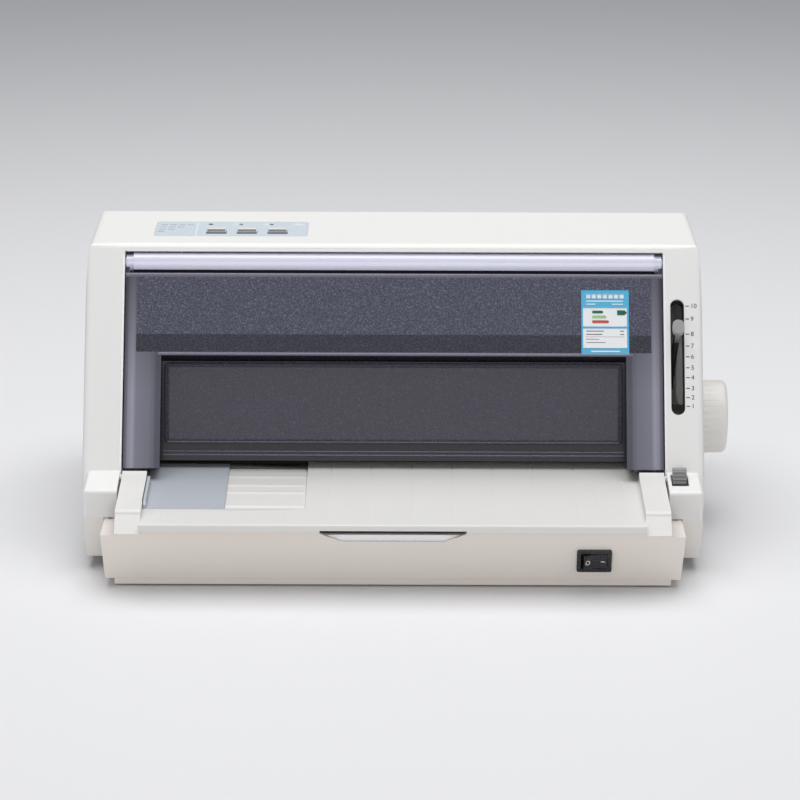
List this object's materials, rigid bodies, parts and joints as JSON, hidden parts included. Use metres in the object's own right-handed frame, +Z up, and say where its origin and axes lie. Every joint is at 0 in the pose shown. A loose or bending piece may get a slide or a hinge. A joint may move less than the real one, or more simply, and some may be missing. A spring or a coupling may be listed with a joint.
{
  "type": "dot matrix printer",
  "caption": "Flatbed impact printer with tinted lift-up front cover, hinged paper table with sliding edge guide, platen knob, levers, push buttons and rear tractors.",
  "frame": {"origin": "centre of the outline, knob included, at the underside of the feet", "axes": "+X to the right seen from the front, along the length; +Y to the back; +Z up"},
  "size_m": [0.405, 0.3, 0.1866],
  "materials": {
    "white_case": "fine spark texture",
    "base_case": "fine spark texture",
    "smoke_cover": "tinted, satin inside",
    "foam": "open cell foam",
    "grey_plastic": "satin",
    "film": "printed polyester film",
    "lens": "clear lens, unlit",
    "black_plastic": "satin",
    "rubber": "ground",
    "steel": "bright",
    "roller": "ground on a steel shaft",
    "pinch": "acetal on a steel shaft",
    "acetal": "moulded acetal",
    "brass": "machined",
    "motor_can": "black oxide",
    "alloy": "cast",
    "board": "solder resist"
  },
  "bodies": {
    "chassis": {"upper_case": "white_case", "lower_case": "base_case", "case_screws": "steel", "rubber_feet": "rubber", "control_overlay": "film", "led_lenses": "lens", "control_board": "board", "lever_channel": "black_plastic", "switch_bezel": "black_plastic", "side_frame_left": "steel", "side_frame_right": "steel", "cross_rail": "steel", "platen_bushes": "black_plastic", "feed_motor": "motor_can", "paper_guide": "black_plastic", "rear_guide": "black_plastic", "guide_rod": "steel", "timing_belt": "rubber", "carriage_motor": "motor_can", "tractor_rod": "steel", "main_board": "board", "power_supply": "alloy", "power_inlet": "black_plastic", "ribbon_cartridge": "black_plastic"},
    "cover": {"front_cover": "smoke_cover", "cover_pads": "foam"},
    "table": {"paper_table": "white_case"},
    "guide": {"edge_guide": "grey_plastic"},
    "left_button": {"button_left": "grey_plastic"},
    "middle_button": {"button_middle": "grey_plastic"},
    "right_button": {"button_right": "grey_plastic"},
    "gap_control": {"gap_lever": "grey_plastic", "gap_shaft": "steel"},
    "release_control": {"release_lever": "grey_plastic"},
    "power_rocker": {"rocker": "black_plastic"},
    "platen": {"platen_roller": "rubber", "platen_shaft": "steel", "platen_gear": "acetal", "platen_knob": "white_case"},
    "front_feed": {"feed_roller_front": "roller", "feed_gear_front": "acetal"},
    "rear_feed": {"feed_roller_rear": "roller", "feed_gear_rear": "acetal"},
    "front_pinch": {"pinch_rollers_front": "pinch"},
    "rear_pinch": {"pinch_rollers_rear": "pinch"},
    "front_idler": {"idler_gear_front": "acetal"},
    "rear_idler": {"idler_gear_rear": "acetal"},
    "tractor_idler": {"idler_gear_tractor": "acetal"},
    "pinion": {"motor_pinion": "brass"},
    "tractor_drive": {"tractor_shaft": "steel"},
    "left_tractor": {"tractor_left": "black_plastic"},
    "right_tractor": {"tractor_right": "black_plastic"},
    "left_sprocket": {"sprocket_left": "acetal"},
    "right_sprocket": {"sprocket_right": "acetal"},
    "head_carriage": {"carriage": "black_plastic", "print_head": "alloy"},
    "belt_drive": {"drive_pulley": "alloy"},
    "belt_idler": {"idler_pulley": "alloy"},
    "ribbon_winder": {"ribbon_knob": "black_plastic"},
    "hatch": {"rear_hatch": "white_case"}
  },
  "joints": [
    {"name": "cover_hinge", "type": "hinge", "parent": "chassis", "child": "cover", "pos_m": [-0.011, -0.00822, 0.17213], "axis": [-1, 0, 0], "range_deg": [0, 90]},
    {"name": "table_hinge", "type": "hinge", "parent": "chassis", "child": "table", "pos_m": [-0.011, -0.0775, 0.052], "axis": [-1, 0, 0], "range_deg": [0, 45]},
    {"name": "guide_slide", "type": "slide", "parent": "table", "child": "guide", "axis": [1, 0, 0], "range_m": [0, 0.0483]},
    {"name": "left_button_press", "type": "slide", "parent": "chassis", "child": "left_button", "axis": [0, 0, -1], "range_m": [0, 0.0008], "stiffness_N_per_m": 400, "springref_m": -0.0006},
    {"name": "middle_button_press", "type": "slide", "parent": "chassis", "child": "middle_button", "axis": [0, 0, -1], "range_m": [0, 0.0008], "stiffness_N_per_m": 400, "springref_m": -0.0006},
    {"name": "right_button_press", "type": "slide", "parent": "chassis", "child": "right_button", "axis": [0, 0, -1], "range_m": [0, 0.0008], "stiffness_N_per_m": 400, "springref_m": -0.0006},
    {"name": "gap_lever_turn", "type": "hinge", "parent": "chassis", "child": "gap_control", "pos_m": [0.16475, 0.01471, 0.09277], "axis": [1, 0, 0], "range_deg": [-6, 33]},
    {"name": "release_lever_turn", "type": "hinge", "parent": "chassis", "child": "release_control", "pos_m": [0.16425, -0.066, 0.0406], "axis": [1, 0, 0], "range_deg": [0, 12]},
    {"name": "rocker_turn", "type": "hinge", "parent": "chassis", "child": "power_rocker", "pos_m": [0.11, -0.1325, 0.01881], "axis": [0, -0.2617, 0.9651], "range_deg": [-18, 0]},
    {"name": "platen_spin", "type": "hinge", "parent": "chassis", "child": "platen", "pos_m": [-0.011, 0.025, 0.064], "axis": [1, 0, 0], "continuous": true},
    {"name": "front_idler_spin", "type": "hinge", "parent": "chassis", "child": "front_idler", "pos_m": [-0.167, 0.00763, 0.04744], "axis": [1, 0, 0], "continuous": true},
    {"name": "front_feed_spin", "type": "hinge", "parent": "chassis", "child": "front_feed", "pos_m": [-0.011, -0.0082, 0.056], "axis": [1, 0, 0], "continuous": true},
    {"name": "front_pinch_spin", "type": "hinge", "parent": "chassis", "child": "front_pinch", "pos_m": [-0.011, -0.015, 0.069], "axis": [1, 0, 0], "continuous": true},
    {"name": "rear_idler_spin", "type": "hinge", "parent": "chassis", "child": "rear_idler", "pos_m": [-0.167, 0.04835, 0.05846], "axis": [1, 0, 0], "continuous": true},
    {"name": "rear_feed_spin", "type": "hinge", "parent": "chassis", "child": "rear_feed", "pos_m": [-0.011, 0.062, 0.0702], "axis": [1, 0, 0], "continuous": true},
    {"name": "rear_pinch_spin", "type": "hinge", "parent": "chassis", "child": "rear_pinch", "pos_m": [-0.011, 0.062, 0.0846], "axis": [1, 0, 0], "continuous": true},
    {"name": "pinion_spin", "type": "hinge", "parent": "chassis", "child": "pinion", "pos_m": [-0.167, 0.05246, 0.04197], "axis": [1, 0, 0], "continuous": true},
    {"name": "tractor_idler_spin", "type": "hinge", "parent": "chassis", "child": "tractor_idler", "pos_m": [-0.167, 0.09061, 0.08858], "axis": [1, 0, 0], "continuous": true},
    {"name": "tractor_drive_spin", "type": "hinge", "parent": "chassis", "child": "tractor_drive", "pos_m": [-0.011, 0.126, 0.082], "axis": [1, 0, 0], "continuous": true},
    {"name": "left_tractor_slide", "type": "slide", "parent": "chassis", "child": "left_tractor", "axis": [1, 0, 0], "range_m": [0, 0.022]},
    {"name": "right_tractor_slide", "type": "slide", "parent": "chassis", "child": "right_tractor", "axis": [-1, 0, 0], "range_m": [0, 0.022]},
    {"name": "left_sprocket_spin", "type": "hinge", "parent": "left_tractor", "child": "left_sprocket", "pos_m": [-0.127, 0.126, 0.082], "axis": [1, 0, 0], "continuous": true},
    {"name": "right_sprocket_spin", "type": "hinge", "parent": "right_tractor", "child": "right_sprocket", "pos_m": [0.105, 0.126, 0.082], "axis": [1, 0, 0], "continuous": true},
    {"name": "carriage_slide", "type": "slide", "parent": "chassis", "child": "head_carriage", "axis": [1, 0, 0], "range_m": [-0.1, 0.1]},
    {"name": "belt_drive_spin", "type": "hinge", "parent": "chassis", "child": "belt_drive", "pos_m": [-0.139, 0.084, 0.108], "axis": [0, 0, 1], "range_deg": [-850, 850]},
    {"name": "belt_idler_spin", "type": "hinge", "parent": "chassis", "child": "belt_idler", "pos_m": [0.117, 0.084, 0.108], "axis": [0, 0, 1], "range_deg": [-850, 850]},
    {"name": "ribbon_winder_spin", "type": "hinge", "parent": "chassis", "child": "ribbon_winder", "pos_m": [0.093, -0.009, 0.14], "axis": [0, 0, 1], "continuous": true},
    {"name": "hatch_hinge", "type": "hinge", "parent": "chassis", "child": "hatch", "pos_m": [-0.011, 0.09569, 0.17048], "axis": [1, 0, 0], "range_deg": [0, 100]}
  ],
  "couplings": [
    {"joint": "front_idler_spin", "follows": "platen_spin", "ratio": -1.4},
    {"joint": "front_feed_spin", "follows": "platen_spin", "ratio": 1.75},
    {"joint": "front_pinch_spin", "follows": "platen_spin", "ratio": -2.3333},
    {"joint": "rear_idler_spin", "follows": "platen_spin", "ratio": -1.4},
    {"joint": "rear_feed_spin", "follows": "platen_spin", "ratio": 1.75},
    {"joint": "rear_pinch_spin", "follows": "platen_spin", "ratio": -2.3333},
    {"joint": "pinion_spin", "follows": "platen_spin", "ratio": 2},
    {"joint": "tractor_idler_spin", "follows": "platen_spin", "ratio": -0.53846},
    {"joint": "tractor_drive_spin", "follows": "platen_spin", "ratio": 1.4},
    {"joint": "left_sprocket_spin", "follows": "platen_spin", "ratio": 1.4},
    {"joint": "right_sprocket_spin", "follows": "platen_spin", "ratio": 1.4},
    {"joint": "belt_drive_spin", "follows": "carriage_slide", "rad_per_m": 142.86},
    {"joint": "belt_idler_spin", "follows": "carriage_slide", "rad_per_m": 142.86}
  ]
}
